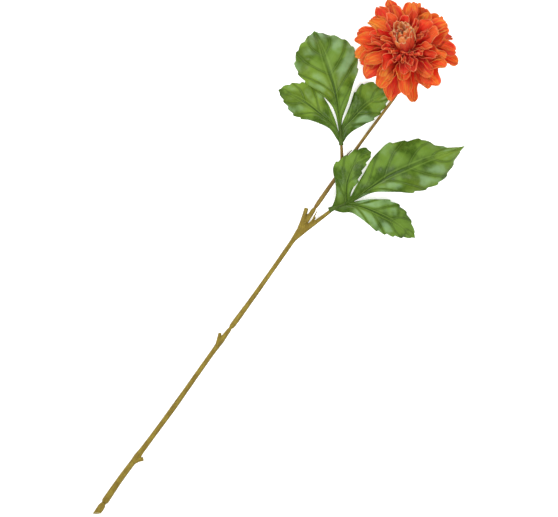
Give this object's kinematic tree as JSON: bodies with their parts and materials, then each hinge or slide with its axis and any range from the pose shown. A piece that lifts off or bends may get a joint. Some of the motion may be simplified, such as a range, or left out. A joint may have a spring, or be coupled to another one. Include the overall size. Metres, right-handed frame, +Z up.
{
  "type": "dahlia flower",
  "caption": "Cut dahlia lying down: a long jointed stem with stumps of side shoots, two leaves of three toothed leaflets, and one full double bloom.",
  "frame": {"origin": "bottom centre of the whole plant's bounding box, on the surface it lies on", "axes": "+Y runs up the stem from the cut end to the bloom, +Z is up from the surface, and +X is to the right seen from above with the bloom at the far end"},
  "size_m": [0.2453, 0.726, 0.075],
  "materials": {
    "stem": "olive green-brown, matt, with fine lengthwise streaks",
    "stalk": "warm brown, matt, with fine lengthwise streaks",
    "leaf": "mid green with lighter veins and a soft bluish sheen",
    "calyx": "olive green, matt",
    "ray_petals": "orange-red, deep red at the root, with pale apricot rims and streaks",
    "heart_petals": "apricot orange, redder at the root"
  },
  "bodies": {
    "root": {"stem_foot": "stem", "stem_lower": "stem", "stem_middle": "stem", "flower_stalk": "stalk", "leaf_lower": "leaf", "leaf_upper": "leaf", "calyx": "calyx", "ray_florets": "ray_petals", "bloom_heart": "heart_petals"}
  },
  "joints": []
}
